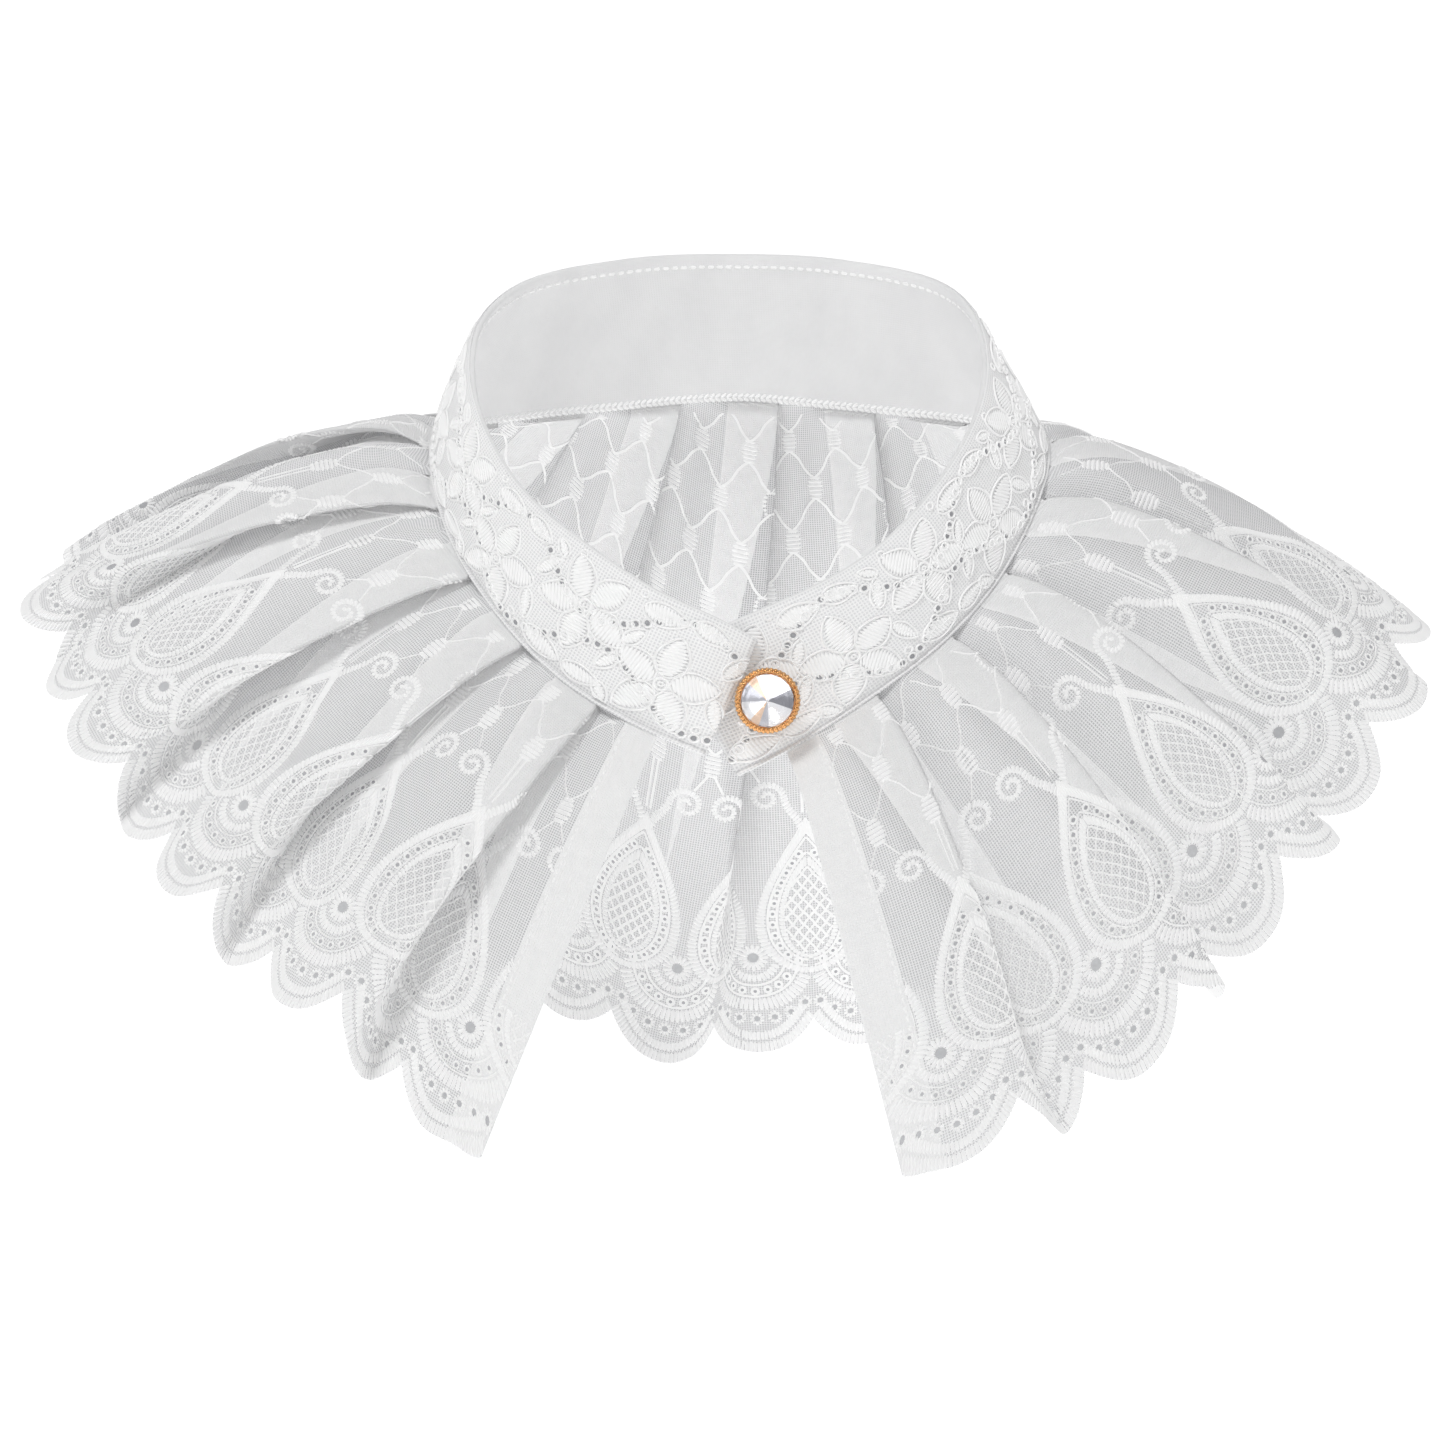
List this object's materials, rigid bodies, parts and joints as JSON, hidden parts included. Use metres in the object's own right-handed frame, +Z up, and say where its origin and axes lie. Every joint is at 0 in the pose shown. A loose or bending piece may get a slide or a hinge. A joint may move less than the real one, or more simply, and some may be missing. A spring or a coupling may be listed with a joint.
{
  "type": "detachable collar",
  "caption": "Stand-band neck collar of lace over a plain facing, with a knife-pleated scalloped cape and a shank button held by a thread loop at the front.",
  "frame": {"origin": "middle of the neck opening, level with the band's lower edge at the sides", "axes": "+Z up, -Y the front with the button, +X the wearer's left"},
  "size_m": [0.3245, 0.2371, 0.2083],
  "materials": {
    "lace": "white cotton guipure lace",
    "facing": "plain-woven white cotton",
    "voile": "embroidered white cotton voile",
    "gilt": "bright gilt",
    "stone": "clear cut crystal",
    "thread": "white twisted thread"
  },
  "bodies": {
    "root": {"band_lace": "lace", "band_facing": "facing", "cape": "voile", "button_rim": "gilt", "button_shank": "gilt", "button_stone": "stone", "button_loop": "thread"}
  },
  "joints": []
}
